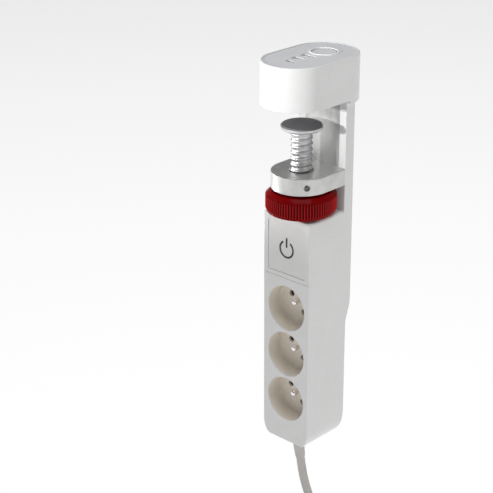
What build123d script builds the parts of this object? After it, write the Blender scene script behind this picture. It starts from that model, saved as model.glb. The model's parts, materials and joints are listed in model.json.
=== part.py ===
from build123d import *
import os
from math import cos, pi, radians, sin, tan

# Desk power strip: a housing with USB outlets and a power button stands on the desk top,
# a bracket and a screw clamp hold it to the desk edge, and a strip with three mains
# sockets hangs below.
#
# Millimetres, +Z up. The origin is on the clamp spindle's axis, in the plane of the desk
# top. The user stands on the -Y side, and the desk edge is the plane y = desk_edge.

os.makedirs("parts", exist_ok=True)

# ---------------------------------------------------------------- driving dimensions
desk_thickness = 18.5        # board that the clamp is closed on at rest
desk_edge = 25.0             # from the spindle axis back to the desk edge

housing_width = 57.0
housing_length = 90.0
housing_height = 35.5
housing_centre = 9.0         # y of the middle of the housing
housing_wall = 2.2
housing_gap = 0.6            # shadow gap between the housing wall and the desk
housing_drop = 2.2           # how far the part behind the desk edge hangs down
panel_thickness = 2.0
panel_sunk = 0.4
panel_ledge = 2.3            # width of the step that carries the top panel

button_y = 25.5
button_radius = 9.5
button_travel = 2.5
ring_radius = 12.5
ring_bore = 10.2
port_c_y = -14.5
port_a_y = [-4.5, 6.5]
port_a_size = (13.2, 5.8)
port_c_size = (9.2, 3.4)
board_z = 18.0
board_thickness = 1.6

body_width = 49.5
strip_front = -17.3
strip_back = 31.7
strip_top = -93.1
strip_bottom = -298.8
strip_wall = 2.2
cover_thickness = 1.7
cover_seam = -147.0
seam_gap = 0.3
corner_size = (8.0, 14.0)    # width and height of its rounded lower corners, from the front
top_radius = 2.2             # its upper corners
back_radius = 2.6            # its long rear edges
heel_size = (14.0, 20.0)     # depth and height of its lower rear corner, from the side
hollow_radius = 4.3          # upper corners of the hollow, and of the lips in it
hollow_foot_radius = 9.0     # lower corners of the hollow
spine_back = 37.0
spine_channel = (31.2, 34.8)
taper_top = -174.0
taper_bottom = -200.0
wire_bottom = -168.0
boss_meet = 10.5             # y where the screw pillars of the two mouldings meet

arm_top = -57.0
arm_bottom = -71.2
arm_radius = 24.75           # half the width of the strip, so the nose runs into the sides
web_thickness = 4.0
web_width = 36.0
flange_top = 7.0
flange_bottom = 3.0

spindle_radius = 9.0
spindle_bottom = -100.0
running_gap = 0.07
lock_screw_angle = -38.0
lock_screw_z = -64.1
plate_radius = 17.0
pad_thickness = 1.0
plate_thickness = 3.0

wheel_radius = 29.0
wheel_top = -73.3
wheel_band_top = -77.2
wheel_band_bottom = -88.5
wheel_bottom = -91.0
wheel_ribs = 76
washer_thickness = 2.0
nut_radius = 13.0

socket_z = [-174.0, -216.3, -258.6]
well_radius = 19.75
well_wall = 1.1
well_depth = 15.0
floor_thickness = 2.2
contact_offset = 6.7         # from the socket centre, along X and along Z
earth_offset = 7.07
contact_hole = 2.7
earth_radius = 2.4
earth_tip = 14.0             # length of earth pin in front of the socket floor
sleeve_radius = 3.2
sleeve_bore = 2.45

screw_radius = 1.5
screw_head = 2.8

cord_diameter = 7.6
cord_lean = 0.171            # dy per unit of drop as the cord leaves the strip
cord_exit = (0.0, -1.0, strip_bottom)
relief_length = 24.0
neck_radius = 5.0
hank_turns = 4
fold_radius = 23.5           # middle of the cord in the folds of the hank
fold_centre = 41.3           # from the waist of the hank to the centre of each fold
waist_offset = 4.0           # from the middle of the hank to each bundle of strands
hank_top = -384.0

# ---------------------------------------------------------------- derived planes
round_share = 0.5523         # how far a curve's handles reach to follow a quarter ellipse
arc_span = housing_length - housing_width
panel_top = housing_height - panel_sunk
panel_bottom = panel_top - panel_thickness
ledge_bottom = panel_bottom - 2.0
cover_back = strip_front + cover_thickness
floor_front = strip_front + well_depth
floor_back = floor_front + floor_thickness
pad_top = -desk_thickness
plate_top = pad_top - pad_thickness
plate_bottom = plate_top - plate_thickness
boss_places = [(x, z) for x in (-18.4, 18.4) for z in (-237.5, -281.0)]


# ================================================================ desk-top housing
# One moulding: a racetrack wall, closed at the rear by a floor behind the desk edge.
with BuildPart() as housing_shell:
    with BuildSketch(Plane.XY.offset(housing_gap)):
        with Locations((0, housing_centre)):
            SlotCenterToCenter(arc_span, housing_width, rotation=90)
    extrude(amount=housing_height - housing_gap)
    with BuildSketch(Plane.XY.offset(-housing_drop)):
        with Locations((0, housing_centre)):
            SlotCenterToCenter(arc_span, housing_width, rotation=90)
        with Locations((0, desk_edge + 0.3 - housing_length / 2)):
            Rectangle(housing_width, housing_length, mode=Mode.SUBTRACT)
    extrude(amount=housing_drop + housing_gap)
    fillet(housing_shell.faces().sort_by(Axis.Z)[-1].edges(), 1.2)
    with BuildSketch(Plane.XY.offset(1.8 - housing_drop)):
        with Locations((0, housing_centre)):
            SlotCenterToCenter(arc_span, housing_width - 2 * housing_wall, rotation=90)
    extrude(amount=ledge_bottom - (1.8 - housing_drop), mode=Mode.SUBTRACT)
    with BuildSketch(Plane.XY.offset(ledge_bottom)):
        with Locations((0, housing_centre)):
            SlotCenterToCenter(arc_span, housing_width - 3.5 - 2 * panel_ledge, rotation=90)
    extrude(amount=5, mode=Mode.SUBTRACT)
    with BuildSketch(Plane.XY.offset(panel_bottom)):
        with Locations((0, housing_centre)):
            SlotCenterToCenter(arc_span, housing_width - 3.5, rotation=90)
    extrude(amount=5, mode=Mode.SUBTRACT)
    with BuildSketch(Plane.XY.offset(-housing_drop)):
        with Locations((0, 30.5)):
            Rectangle(44.4, 10.8)
    extrude(amount=2.5, mode=Mode.SUBTRACT)
housing_shell.part.label = "housing_shell"
export_step(housing_shell.part, "parts/housing_shell.step")

# Top panel, sunk a little below the rim, with the port and button openings.
with BuildPart() as top_panel:
    with BuildSketch(Plane.XY.offset(panel_bottom)):
        with Locations((0, housing_centre)):
            SlotCenterToCenter(arc_span, housing_width - 3.7, rotation=90)
    extrude(amount=panel_thickness)
    chamfer(top_panel.faces().sort_by(Axis.Z)[-1].edges(), 0.25)
    with BuildSketch(Plane.XY.offset(panel_bottom)):
        with Locations((0, button_y)):
            Circle(ring_radius + 0.05)
        with Locations([(0, y) for y in port_a_y]):
            RectangleRounded(*port_a_size, 0.6)
        with Locations((0, port_c_y)):
            RectangleRounded(*port_c_size, 1.69)
        with Locations((-9.5, 12.5)):
            Circle(0.85)
    extrude(amount=panel_thickness, mode=Mode.SUBTRACT)
top_panel.part.label = "top_panel"
export_step(top_panel.part, "parts/top_panel.step")

# Ring around the power button, held under the panel by a flange.
with BuildPart() as button_ring:
    with BuildSketch(Plane.XZ.offset(-button_y)):
        with BuildLine():
            Polyline(
                (ring_bore, panel_bottom - 3.5),
                (ring_radius + 1.6, panel_bottom - 3.5),
                (ring_radius + 1.6, panel_bottom - 2.1),
                (ring_radius, panel_bottom - 2.1),
                (ring_radius, panel_top + 0.1),
                (ring_radius - 0.5, panel_top + 0.5),
                (ring_bore + 0.3, panel_top + 0.5),
                (ring_bore, panel_top + 0.2),
                close=True,
            )
        make_face()
    revolve(axis=Axis((0, button_y, 0), (0, 0, 1)))
button_ring.part.label = "button_ring"
export_step(button_ring.part, "parts/button_ring.step")

# Power button: a flat cap on a stem that runs in the switch.
switch_top = 21.0
stem_bottom = 18.0
stem_radius = 2.9
with BuildPart() as power_button:
    with BuildSketch(Plane.XY.offset(panel_top - 3.0)):
        with Locations((0, button_y)):
            Circle(button_radius)
    extrude(amount=2.9)
    fillet(power_button.faces().sort_by(Axis.Z)[-1].edges(), 0.5)
    with BuildSketch(Plane.XY.offset(stem_bottom)):
        with Locations((0, button_y)):
            Circle(stem_radius)
    extrude(amount=panel_top - 2.9 - stem_bottom)
power_button.part.label = "power_button"
export_step(power_button.part, "parts/power_button.step")

# Mains switch under the button, with a well for the stem.
with BuildPart() as power_switch:
    with BuildSketch(Plane.XY.offset(flange_top)):
        with Locations((0, button_y)):
            RectangleRounded(17, 15, 1)
    extrude(amount=switch_top - flange_top)
    with BuildSketch(Plane.XY.offset(switch_top)):
        with Locations((0, button_y)):
            Circle(stem_radius + 0.35)
    extrude(amount=-(switch_top - stem_bottom + button_travel + 0.5), mode=Mode.SUBTRACT)
power_switch.part.label = "power_switch"
export_step(power_switch.part, "parts/power_switch.step")

# Light pipe of the status lamp.
with BuildPart() as status_light:
    with BuildSketch(Plane.XY.offset(board_z + board_thickness)):
        with Locations((-9.5, 12.5)):
            Circle(0.8)
    extrude(amount=panel_top + 0.1 - board_z - board_thickness)
status_light.part.label = "status_light"
export_step(status_light.part, "parts/status_light.step")

# Circuit board of the USB supply, snapped onto four stand-offs on the bracket's flange.
board_holes = [(x, y) for x in (-15.5, 15.5) for y in (-13.5, 11.0)]
with BuildPart() as usb_board:
    with BuildSketch(Plane.XY.offset(board_z)):
        with Locations((0, -4.0)):
            RectangleRounded(38, 38, 3)
        with Locations(board_holes):
            Circle(1.6, mode=Mode.SUBTRACT)
    extrude(amount=board_thickness)
usb_board.part.label = "usb_board"
export_step(usb_board.part, "parts/usb_board.step")

with BuildPart() as board_standoffs:
    with BuildSketch(Plane.XY.offset(flange_top)):
        with Locations(board_holes):
            RegularPolygon(2.9, 6)
    extrude(amount=board_z - flange_top)
    with BuildSketch(Plane.XY.offset(board_z)):
        with Locations(board_holes):
            Circle(1.5)
    extrude(amount=board_thickness)
    with BuildSketch(Plane.XY.offset(board_z + board_thickness)):
        with Locations(board_holes):
            Circle(2.1)
    extrude(amount=2.4, taper=20)
board_standoffs.part.label = "board_standoffs"
export_step(board_standoffs.part, "parts/board_standoffs.step")

# USB-A sockets: a folded metal shell and a plastic block with its contact tongue.
port_base = board_z + board_thickness
port_mouth = panel_top - 0.5
for number, y in enumerate(port_a_y, start=1):
    with BuildPart() as usb_a_shell:
        with BuildSketch(Plane.XY.offset(port_base)):
            with Locations((0, y)):
                RectangleRounded(12.9, 5.5, 0.5)
                RectangleRounded(12.3, 4.9, 0.35, mode=Mode.SUBTRACT)
        extrude(amount=port_mouth - port_base)
    usb_a_shell.part.label = f"usb_a_shell_{number}"
    export_step(usb_a_shell.part, f"parts/usb_a_shell_{number}.step")

    with BuildPart() as usb_a_tongue:
        with BuildSketch(Plane.XY.offset(port_base)):
            with Locations((0, y)):
                RectangleRounded(12.2, 4.8, 0.4)
        extrude(amount=3.0)
        with BuildSketch(Plane.XY.offset(port_base + 3.0)):
            with Locations((0, y + 1.2)):
                Rectangle(11.4, 1.9)
        extrude(amount=port_mouth - port_base - 3.6)
    usb_a_tongue.part.label = f"usb_a_tongue_{number}"
    export_step(usb_a_tongue.part, f"parts/usb_a_tongue_{number}.step")

with BuildPart() as usb_c_shell:
    with BuildSketch(Plane.XY.offset(port_base)):
        with Locations((0, port_c_y)):
            SlotOverall(8.94, 3.2)
            SlotOverall(8.34, 2.6, mode=Mode.SUBTRACT)
    extrude(amount=port_mouth - port_base)
usb_c_shell.part.label = "usb_c_shell"
export_step(usb_c_shell.part, "parts/usb_c_shell.step")

with BuildPart() as usb_c_tongue:
    with BuildSketch(Plane.XY.offset(port_base)):
        with Locations((0, port_c_y)):
            SlotOverall(8.24, 2.5)
    extrude(amount=3.0)
    with BuildSketch(Plane.XY.offset(port_base + 3.0)):
        with Locations((0, port_c_y)):
            Rectangle(6.7, 0.7)
    extrude(amount=port_mouth - port_base - 4.0)
usb_c_tongue.part.label = "usb_c_tongue"
export_step(usb_c_tongue.part, "parts/usb_c_tongue.step")

# Mains side of the USB supply, hung under the board.
with BuildPart() as transformer:
    with BuildSketch(Plane.XY.offset(board_z - 9.0)):
        with Locations((0, -9.0)):
            RectangleRounded(17, 13, 1)
    extrude(amount=9.0)
transformer.part.label = "transformer"
export_step(transformer.part, "parts/transformer.step")

with BuildPart() as capacitors:
    with BuildSketch(Plane.XY.offset(board_z - 9.5)):
        with Locations((-5.5, 5.0), (5.5, 5.0)):
            Circle(4.0)
    extrude(amount=9.5)
capacitors.part.label = "capacitors"
export_step(capacitors.part, "parts/capacitors.step")

# Base plate that closes the housing over the desk, and the pad it stands on.
base_holes = [(x, y) for x in (-14.0, 14.0) for y in (-9.0, 17.0)]
with BuildPart() as base_plate:
    with BuildSketch(Plane.XY.offset(1.0)):
        with Locations((0, housing_centre)):
            SlotCenterToCenter(arc_span, housing_width - 2 * housing_wall - 0.3, rotation=90)
        with Locations((0, desk_edge - 0.1 + housing_length / 2)):
            Rectangle(housing_width, housing_length, mode=Mode.SUBTRACT)
        with Locations(base_holes):
            Circle(screw_radius + 0.1, mode=Mode.SUBTRACT)
    extrude(amount=flange_bottom - 1.0)
    with BuildSketch(Plane.XY.offset(1.0)):
        with Locations(base_holes):
            Circle(screw_head + 0.1)
    extrude(amount=1.1, mode=Mode.SUBTRACT)
base_plate.part.label = "base_plate"
export_step(base_plate.part, "parts/base_plate.step")

with BuildPart() as rest_pad:
    with BuildSketch():
        with Locations((0, housing_centre)):
            SlotCenterToCenter(arc_span, housing_width - 7.0, rotation=90)
        with Locations((0, desk_edge - 0.5 + housing_length / 2)):
            Rectangle(housing_width, housing_length, mode=Mode.SUBTRACT)
    extrude(amount=1.0)
rest_pad.part.label = "rest_pad"
export_step(rest_pad.part, "parts/rest_pad.step")

with BuildPart() as base_screws:
    with BuildSketch(Plane.XY.offset(1.05)):
        with Locations(base_holes):
            Circle(screw_head)
    extrude(amount=1.0)
    with BuildSketch(Plane.XY.offset(2.05)):
        with Locations(base_holes):
            Circle(screw_radius)
    extrude(amount=flange_top - 2.05)
base_screws.part.label = "base_screws"
export_step(base_screws.part, "parts/base_screws.step")


# ================================================================ bracket and clamp
# One casting: a flange inside the housing, a web down the desk edge, and the lower arm
# with a half-round nose about the spindle axis.
spine_screws_at = [(x, z) for x in (-14.6, 14.6) for z in (-14.0, -46.0)]
with BuildPart() as clamp_bracket:
    with BuildSketch(Plane.XY.offset(arm_bottom)):
        Circle(arm_radius)
        with Locations((0, desk_edge / 2)):
            Rectangle(2 * arm_radius, desk_edge)
    extrude(amount=arm_top - arm_bottom)
    rim_edges = clamp_bracket.faces().filter_by(Axis.Z).edges()
    fillet(rim_edges.filter_by(lambda e: e.center().Y < desk_edge - 0.1), 0.7)
    with BuildSketch(Plane.XY.offset(arm_bottom)):
        with Locations((0, desk_edge + web_thickness / 2)):
            Rectangle(web_width, web_thickness)
    extrude(amount=flange_top - arm_bottom)
    # above the desk top the web stands back a little from the desk edge
    with BuildSketch():
        with Locations((0, desk_edge)):
            Rectangle(web_width, 0.6)
    extrude(amount=flange_bottom, mode=Mode.SUBTRACT)
    with BuildSketch(Plane.XY.offset(flange_bottom)):
        with Locations((0, (desk_edge + web_thickness - 17.0) / 2)):
            RectangleRounded(40.0, desk_edge + web_thickness + 17.0, 4)
    extrude(amount=flange_top - flange_bottom)
    with BuildSketch(Plane.XY.offset(flange_bottom)):
        with Locations(base_holes):
            Circle(screw_radius + 0.05)
    extrude(amount=flange_top - flange_bottom, mode=Mode.SUBTRACT)
    with BuildSketch(Plane.XY.offset(arm_bottom)):
        Circle(spindle_radius + running_gap)
    extrude(amount=arm_top - arm_bottom, mode=Mode.SUBTRACT)
    with BuildSketch(Plane.XY.offset(arm_top)):
        Circle(spindle_radius + 1.4)
    extrude(amount=-1.4, taper=40, mode=Mode.SUBTRACT)
    with BuildSketch(Plane.XY.offset(arm_bottom)):
        with Locations((0, 9.5)):
            Rectangle(3.7, 4.6)
    extrude(amount=arm_top - arm_bottom - 2.0, mode=Mode.SUBTRACT)
    nose_direction = Vector(cos(radians(lock_screw_angle)), sin(radians(lock_screw_angle)), 0)
    nose_point = nose_direction * arm_radius + Vector(0, 0, lock_screw_z)
    with BuildSketch(Plane(origin=nose_point, z_dir=nose_direction)):
        Circle(2.75)
    extrude(amount=-(arm_radius - spindle_radius + 1.0), mode=Mode.SUBTRACT)
    with BuildSketch(Plane.XZ.offset(-desk_edge - web_thickness)):
        with Locations([(x, z) for x, z in spine_screws_at]):
            Circle(screw_radius + 0.05)
    extrude(amount=web_thickness - 0.8, mode=Mode.SUBTRACT)
clamp_bracket.part.label = "clamp_bracket"
export_step(clamp_bracket.part, "parts/clamp_bracket.step")

# Lock screw in the nose of the arm. It stops short of the spindle.
with BuildPart() as lock_screw:
    with BuildSketch(Plane(origin=nose_point - nose_direction * 4.0, z_dir=nose_direction)):
        Circle(2.7)
    extrude(amount=-10.0)
    with BuildSketch(Plane(origin=nose_point - nose_direction * 4.0, z_dir=nose_direction)):
        RegularPolygon(1.5, 6)
    extrude(amount=-3.0, mode=Mode.SUBTRACT)
lock_screw.part.label = "lock_screw"
export_step(lock_screw.part, "parts/lock_screw.step")

# Key in the arm that stops the spindle from turning.
with BuildPart() as spindle_key:
    with BuildSketch(Plane.XY.offset(arm_bottom)):
        with Locations((0, 9.5)):
            Rectangle(3.6, 4.5)
    extrude(amount=arm_top - arm_bottom - 2.1)
spindle_key.part.label = "spindle_key"
export_step(spindle_key.part, "parts/spindle_key.step")

# Spindle, raised and lowered by the nut in the hand wheel.
with BuildPart() as spindle:
    with BuildSketch(Plane.XY.offset(spindle_bottom)):
        Circle(spindle_radius)
    extrude(amount=plate_bottom - spindle_bottom)
    chamfer(spindle.faces().sort_by(Axis.Z)[0].edges(), 1.0)
    with BuildSketch(Plane.XY.offset(spindle_bottom)):
        with Locations((0, spindle_radius + 0.4)):
            Rectangle(4.4, 5.2)
    extrude(amount=-26.0 - spindle_bottom, mode=Mode.SUBTRACT)
    with BuildSketch(Plane.XY.offset(plate_bottom)):
        Circle(2.6)
    extrude(amount=-12.0, mode=Mode.SUBTRACT)
spindle.part.label = "spindle"
export_step(spindle.part, "parts/spindle.step")

with BuildPart() as pressure_plate:
    with BuildSketch(Plane.XY.offset(plate_bottom)):
        Circle(plate_radius)
    extrude(amount=plate_thickness)
    chamfer(pressure_plate.faces().sort_by(Axis.Z)[0].edges(), 1.2)
    with BuildSketch(Plane.XY.offset(plate_bottom)):
        Circle(2.6)
    extrude(amount=plate_thickness, mode=Mode.SUBTRACT)
    with BuildSketch(Plane.XY.offset(plate_top)):
        Circle(4.9)
    extrude(amount=-1.9, taper=45, mode=Mode.SUBTRACT)
pressure_plate.part.label = "pressure_plate"
export_step(pressure_plate.part, "parts/pressure_plate.step")

with BuildPart() as plate_screw:
    with BuildSketch(Plane.XY.offset(plate_top - 0.05)):
        Circle(4.75)
    extrude(amount=-1.8, taper=45)
    with BuildSketch(Plane.XY.offset(plate_top - 1.0)):
        Circle(2.5)
    extrude(amount=-12.0)
    with BuildSketch(Plane.XY.offset(plate_top - 0.05)):
        RegularPolygon(1.7, 6)
    extrude(amount=-1.4, mode=Mode.SUBTRACT)
plate_screw.part.label = "plate_screw"
export_step(plate_screw.part, "parts/plate_screw.step")

with BuildPart() as clamp_pad:
    with BuildSketch(Plane.XY.offset(plate_top)):
        Circle(plate_radius - 0.8)
    extrude(amount=pad_thickness)
    fillet(clamp_pad.faces().sort_by(Axis.Z)[-1].edges(), 0.4)
clamp_pad.part.label = "clamp_pad"
export_step(clamp_pad.part, "parts/clamp_pad.step")

# Hand wheel with a ribbed band, and the nut moulded into it.
with BuildPart() as clamp_wheel:
    with BuildSketch(Plane.XZ):
        with BuildLine():
            Polyline(
                (spindle_radius + 0.4, wheel_top),
                (wheel_radius - 3.9, wheel_top),
                (wheel_radius - 0.1, wheel_band_top),
                (wheel_radius, wheel_band_top - 0.2),
                (wheel_radius, wheel_band_bottom + 0.2),
                (wheel_radius - 0.8, wheel_band_bottom - 0.3),
                (wheel_radius - 0.8, wheel_bottom + 0.6),
                (wheel_radius - 1.4, wheel_bottom),
                (spindle_radius + 0.4, wheel_bottom),
                close=True,
            )
        make_face()
    revolve(axis=Axis.Z)
    with BuildSketch(Plane.XY.offset(wheel_bottom)):
        RegularPolygon(nut_radius + 0.05, 6)
    extrude(amount=wheel_band_top + 1.2 - wheel_bottom, mode=Mode.SUBTRACT)
    with BuildSketch(Plane.XY.offset(wheel_band_bottom)):
        with PolarLocations(wheel_radius + 0.55, wheel_ribs):
            Circle(1.0)
    extrude(amount=wheel_band_top - wheel_band_bottom, mode=Mode.SUBTRACT)
clamp_wheel.part.label = "clamp_wheel"
export_step(clamp_wheel.part, "parts/clamp_wheel.step")

with BuildPart() as wheel_nut:
    with BuildSketch(Plane.XY.offset(wheel_bottom + 0.1)):
        RegularPolygon(nut_radius, 6)
        Circle(spindle_radius + running_gap, mode=Mode.SUBTRACT)
    extrude(amount=wheel_band_top + 1.0 - wheel_bottom)
wheel_nut.part.label = "wheel_nut"
export_step(wheel_nut.part, "parts/wheel_nut.step")

# Thrust washers above and below the wheel, notched to pass the key.
with BuildPart() as wheel_washers:
    for washer_z in (strip_top, arm_bottom - washer_thickness):
        with BuildSketch(Plane.XY.offset(washer_z)):
            Circle(15.5)
            Circle(spindle_radius + 0.5, mode=Mode.SUBTRACT)
            with Locations((0, 9.5)):
                Rectangle(5.0, 5.6, mode=Mode.SUBTRACT)
        extrude(amount=washer_thickness)
wheel_washers.part.label = "wheel_washers"
export_step(wheel_washers.part, "parts/wheel_washers.step")


# ================================================================ strip below the desk
# Front outline of the strip, open upwards, with soft lower corners.
half_width = body_width / 2
corner_width, corner_height = corner_size
with BuildSketch() as strip_outline:
    with Locations((0, strip_bottom + corner_height)):
        Rectangle(body_width, 400, align=(Align.CENTER, Align.MIN))
    with BuildLine():
        Line((-half_width, strip_bottom + corner_height), (half_width, strip_bottom + corner_height))
        Line((half_width - corner_width, strip_bottom), (corner_width - half_width, strip_bottom))
        for side in (-1, 1):
            Bezier(
                (side * half_width, strip_bottom + corner_height),
                (side * half_width, strip_bottom + corner_height * (1 - round_share)),
                (side * (half_width - corner_width * (1 - round_share)), strip_bottom),
                (side * (half_width - corner_width), strip_bottom),
            )
    make_face()

# The hollow of the strip; its lower rear corner follows the heel.
heel_depth, heel_height = heel_size
hollow_back = strip_back - strip_wall
hollow_floor = strip_bottom + strip_wall
with BuildPart() as strip_hollow:
    with BuildSketch(Plane.XZ.offset(-hollow_back)):
        with Locations((0, (strip_top + strip_bottom) / 2)):
            outline = Rectangle(body_width - 2 * strip_wall, strip_top - strip_wall - hollow_floor)
        hollow_corners = outline.vertices().sort_by(Axis.Y)
        fillet(hollow_corners[:2], hollow_foot_radius)
        fillet(hollow_corners[2:], hollow_radius)
    extrude(amount=hollow_back - cover_back)
    with BuildSketch(Plane.YZ):
        with BuildLine():
            Polyline(
                (strip_back - heel_depth, hollow_floor),
                (cover_back, hollow_floor),
                (cover_back, strip_top),
                (hollow_back, strip_top),
                (hollow_back, strip_bottom + heel_height),
            )
            Bezier(
                (hollow_back, strip_bottom + heel_height),
                (hollow_back, hollow_floor + (heel_height - strip_wall) * (1 - round_share)),
                (hollow_back - (heel_depth - strip_wall) * (1 - round_share), hollow_floor),
                (strip_back - heel_depth, hollow_floor),
            )
        make_face()
    extrude(amount=half_width, both=True, mode=Mode.INTERSECT)

# Rear moulding: the strip's sides, top, bottom and back, and the spine up the desk edge.
with BuildPart() as rear_body:
    with BuildSketch(Plane.YZ):
        with BuildLine():
            Polyline(
                (cover_back, strip_bottom),
                (cover_back, strip_top),
                (desk_edge, strip_top),
                (desk_edge, -housing_drop),
                (spine_back, -housing_drop),
                (spine_back, taper_top),
            )
            Bezier(
                (spine_back, taper_top),
                (spine_back, taper_top - 12),
                (strip_back, taper_bottom + 12),
                (strip_back, taper_bottom),
            )
            Line((strip_back, taper_bottom), (strip_back, strip_bottom + heel_height))
            Bezier(
                (strip_back, strip_bottom + heel_height),
                (strip_back, strip_bottom + heel_height * (1 - round_share)),
                (strip_back - heel_depth * (1 - round_share), strip_bottom),
                (strip_back - heel_depth, strip_bottom),
            )
            Line((strip_back - heel_depth, strip_bottom), (cover_back, strip_bottom))
        make_face()
    extrude(amount=half_width, both=True)
    back_edges = rear_body.faces().filter_by(lambda f: f.normal_at().Y > 0.3).edges()
    fillet(back_edges.filter_by(lambda e: abs(e.center().X) > half_width - 0.1), back_radius)
    # round the lower corners as seen from the front
    with BuildSketch(Plane.XZ.offset(-spine_back - 1)):
        add(strip_outline.sketch)
    extrude(amount=spine_back - cover_back + 2, mode=Mode.INTERSECT)
    top_edges = rear_body.edges().filter_by(Axis.Y)
    top_edges = top_edges.filter_by(lambda e: abs(e.center().Z - strip_top) < 0.1)
    fillet(top_edges, top_radius)
    add(strip_hollow.part, mode=Mode.SUBTRACT)
    # pocket for the bracket's web, and room for the wheel
    with BuildSketch(Plane.XY.offset(arm_bottom - 0.05)):
        with Locations((0, desk_edge + web_thickness / 2)):
            Rectangle(web_width + 0.1, web_thickness + 0.1)
    extrude(amount=80, mode=Mode.SUBTRACT)
    with BuildSketch(Plane.XY.offset(strip_top)):
        Circle(wheel_radius + 0.7)
    extrude(amount=arm_bottom - strip_top, mode=Mode.SUBTRACT)
    with BuildSketch(Plane.XY.offset(strip_top)):
        Circle(spindle_radius + 0.8)
    extrude(amount=-strip_wall, mode=Mode.SUBTRACT)
    # tongue into the housing, wire channel and its window into the strip
    with BuildSketch(Plane.XY.offset(-housing_drop - 3)):
        with Locations((0, 32.4)):
            Rectangle(44.0, 6.4)
    extrude(amount=housing_drop + 5)
    with BuildSketch(Plane.XY.offset(wire_bottom)):
        with Locations((0, sum(spine_channel) / 2)):
            Rectangle(24.0, spine_channel[1] - spine_channel[0])
    extrude(amount=10 - wire_bottom, mode=Mode.SUBTRACT)
    with BuildSketch(Plane.XZ.offset(-spine_channel[0])):
        with Locations((0, wire_bottom + 6)):
            Rectangle(24.0, 12.0)
    extrude(amount=strip_wall + 0.5, mode=Mode.SUBTRACT)
    # outlet for the cord
    with BuildSketch(Plane.XY.offset(strip_bottom)):
        with Locations(cord_exit[:2]):
            Circle(neck_radius + 0.05)
    extrude(amount=strip_wall, mode=Mode.SUBTRACT)
    # screw pillars of the lower cover, and the screws into the bracket
    with BuildSketch(Plane.XZ.offset(-strip_back + 1)):
        with Locations(boss_places):
            Circle(3.8)
    extrude(amount=strip_back - 1 - boss_meet)
    with BuildSketch(Plane.XZ.offset(-strip_back)):
        with Locations(boss_places):
            Circle(screw_radius + 0.1)
    extrude(amount=strip_back - boss_meet, mode=Mode.SUBTRACT)
    with BuildSketch(Plane.XZ.offset(-strip_back)):
        with Locations(boss_places):
            Circle(screw_head + 0.2)
    extrude(amount=2.2, mode=Mode.SUBTRACT)
    with BuildSketch(Plane.XZ.offset(-spine_back)):
        with Locations(spine_screws_at):
            Circle(screw_radius + 0.1)
    extrude(amount=spine_back - desk_edge, mode=Mode.SUBTRACT)
    with BuildSketch(Plane.XZ.offset(-spine_back)):
        with Locations(spine_screws_at):
            Circle(screw_head + 0.2)
    extrude(amount=2.2, mode=Mode.SUBTRACT)
rear_body.part.label = "rear_body"
export_step(rear_body.part, "parts/rear_body.step")

# Upper front cover, with the shallow recess for the label plate.
upper_height = strip_top - cover_seam - seam_gap / 2
upper_middle = strip_top - upper_height / 2
label_size = (39.8, 43.4)
label_middle = -121.3
label_recess = 0.9
with BuildPart() as upper_cover:
    with BuildSketch(Plane.XZ.offset(-cover_back)):
        with Locations((0, upper_middle)):
            outline = Rectangle(body_width, upper_height)
        fillet(outline.vertices().sort_by(Axis.Y)[-2:], top_radius)
    extrude(amount=cover_thickness)
    front_edges = upper_cover.faces().sort_by(Axis.Y)[0].edges()
    fillet(front_edges.filter_by(lambda e: e.center().Z > cover_seam + 1), 0.7)
    with BuildSketch(Plane.XZ.offset(-cover_back)):
        with Locations((0, upper_middle)):
            RectangleRounded(
                body_width - 2 * strip_wall - 0.2,
                upper_height - 2 * strip_wall - 0.2,
                hollow_radius,
            )
            RectangleRounded(
                body_width - 2 * strip_wall - 2.4,
                upper_height - 2 * strip_wall - 2.4,
                hollow_radius - 1.1,
                mode=Mode.SUBTRACT,
            )
    extrude(amount=-3.0)
    with BuildSketch(Plane.XZ.offset(-strip_front)):
        with Locations((0, label_middle)):
            RectangleRounded(label_size[0] + 0.3, label_size[1] + 0.3, 0.6)
    extrude(amount=-label_recess, mode=Mode.SUBTRACT)
upper_cover.part.label = "upper_cover"
export_step(upper_cover.part, "parts/upper_cover.step")

with BuildPart() as label_plate:
    with BuildSketch(Plane.XZ.offset(-strip_front - label_recess)):
        with Locations((0, label_middle)):
            RectangleRounded(*label_size, 0.5)
    extrude(amount=0.6)
    chamfer(label_plate.faces().sort_by(Axis.Y)[0].edges(), 0.2)
label_plate.part.label = "label_plate"
export_step(label_plate.part, "parts/label_plate.step")

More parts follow.
